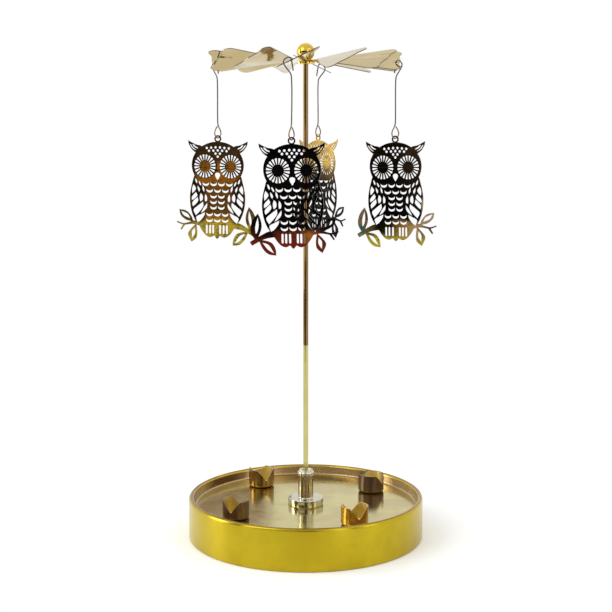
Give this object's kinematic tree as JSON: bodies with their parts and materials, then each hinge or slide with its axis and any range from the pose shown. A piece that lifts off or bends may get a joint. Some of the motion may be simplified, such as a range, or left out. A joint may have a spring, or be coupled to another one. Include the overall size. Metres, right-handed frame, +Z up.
{
  "type": "candle carousel",
  "caption": "Candle-driven carousel: bladed wheel on a rod above a round gold candle tray, with pierced metal owls hanging from the blades on wires.",
  "frame": {"origin": "centre of the drum's base, on the rod's axis, at the table's height", "axes": "+Z up along the rod; the four hangers lie along +X, +Y, -X and -Y; the candle cups lie two degrees short of the diagonals"},
  "size_m": [0.1435, 0.13, 0.2703],
  "materials": {
    "drum_gold": "satin gold lacquer",
    "cup_bronze": "polished, dark gold",
    "bright_chrome": "polished",
    "pale_gold": "polished",
    "dark_bronze": "polished, browned",
    "polished_gold": "polished",
    "blade_champagne": "polished, pale champagne",
    "wire_steel": "drawn wire",
    "plain_steel": "plain",
    "heat_tinted_gold": "polished, with black, orange and gold tints"
  },
  "bodies": {
    "base": {"base_drum": "drum_gold", "candle_cup_1": "cup_bronze", "candle_cup_2": "cup_bronze", "candle_cup_3": "cup_bronze", "candle_cup_4": "cup_bronze", "cup_rivet_1": "plain_steel", "cup_rivet_2": "plain_steel", "cup_rivet_3": "plain_steel", "cup_rivet_4": "plain_steel", "post_foot": "bright_chrome", "foot_collar": "bright_chrome", "foot_screw": "plain_steel", "foot_washer": "plain_steel", "lower_rod": "pale_gold", "upper_rod": "dark_bronze", "rod_joint_stud": "plain_steel", "pivot_needle": "plain_steel"},
    "rotor": {"rotor_wheel": "blade_champagne", "hub_bush": "polished_gold", "bearing_cup": "plain_steel", "hub_ball": "polished_gold"},
    "wire_1": {"hanger_wire_1": "wire_steel"},
    "owl_1": {"owl_1": "heat_tinted_gold"},
    "wire_2": {"hanger_wire_2": "wire_steel"},
    "owl_2": {"owl_2": "heat_tinted_gold"},
    "wire_3": {"hanger_wire_3": "wire_steel"},
    "owl_3": {"owl_3": "heat_tinted_gold"},
    "wire_4": {"hanger_wire_4": "wire_steel"},
    "owl_4": {"owl_4": "heat_tinted_gold"}
  },
  "joints": [
    {"name": "rotor_spin", "type": "hinge", "parent": "base", "child": "rotor", "pos_m": [0, 0, 0.2643], "axis": [0, 0, 1], "continuous": true},
    {"name": "wire_swing_1", "type": "hinge", "parent": "rotor", "child": "wire_1", "pos_m": [0.0482, 0, 0.25938], "axis": [-0.7071, -0.7071, 0], "range_deg": [-10, 25]},
    {"name": "owl_swing_1", "type": "hinge", "parent": "wire_1", "child": "owl_1", "pos_m": [0.0482, 0, 0.21998], "axis": [0.6018, 0.7986, 0], "range_deg": [-25, 25]},
    {"name": "wire_swing_2", "type": "hinge", "parent": "rotor", "child": "wire_2", "pos_m": [0, 0.0482, 0.25938], "axis": [0.7071, -0.7071, 0], "range_deg": [-10, 25]},
    {"name": "owl_swing_2", "type": "hinge", "parent": "wire_2", "child": "owl_2", "pos_m": [0, 0.0482, 0.21998], "axis": [0.3746, 0.9272, 0], "range_deg": [-25, 25]},
    {"name": "wire_swing_3", "type": "hinge", "parent": "rotor", "child": "wire_3", "pos_m": [-0.0482, 0, 0.25938], "axis": [0.7071, 0.7071, 0], "range_deg": [-10, 25]},
    {"name": "owl_swing_3", "type": "hinge", "parent": "wire_3", "child": "owl_3", "pos_m": [-0.0482, 0, 0.21998], "axis": [-0.4384, -0.8988, 0], "range_deg": [-25, 25]},
    {"name": "wire_swing_4", "type": "hinge", "parent": "rotor", "child": "wire_4", "pos_m": [0, -0.0482, 0.25938], "axis": [-0.7071, 0.7071, 0], "range_deg": [-10, 25]},
    {"name": "owl_swing_4", "type": "hinge", "parent": "wire_4", "child": "owl_4", "pos_m": [0, -0.0482, 0.21998], "axis": [0.342, 0.9397, 0], "range_deg": [-25, 25]}
  ]
}
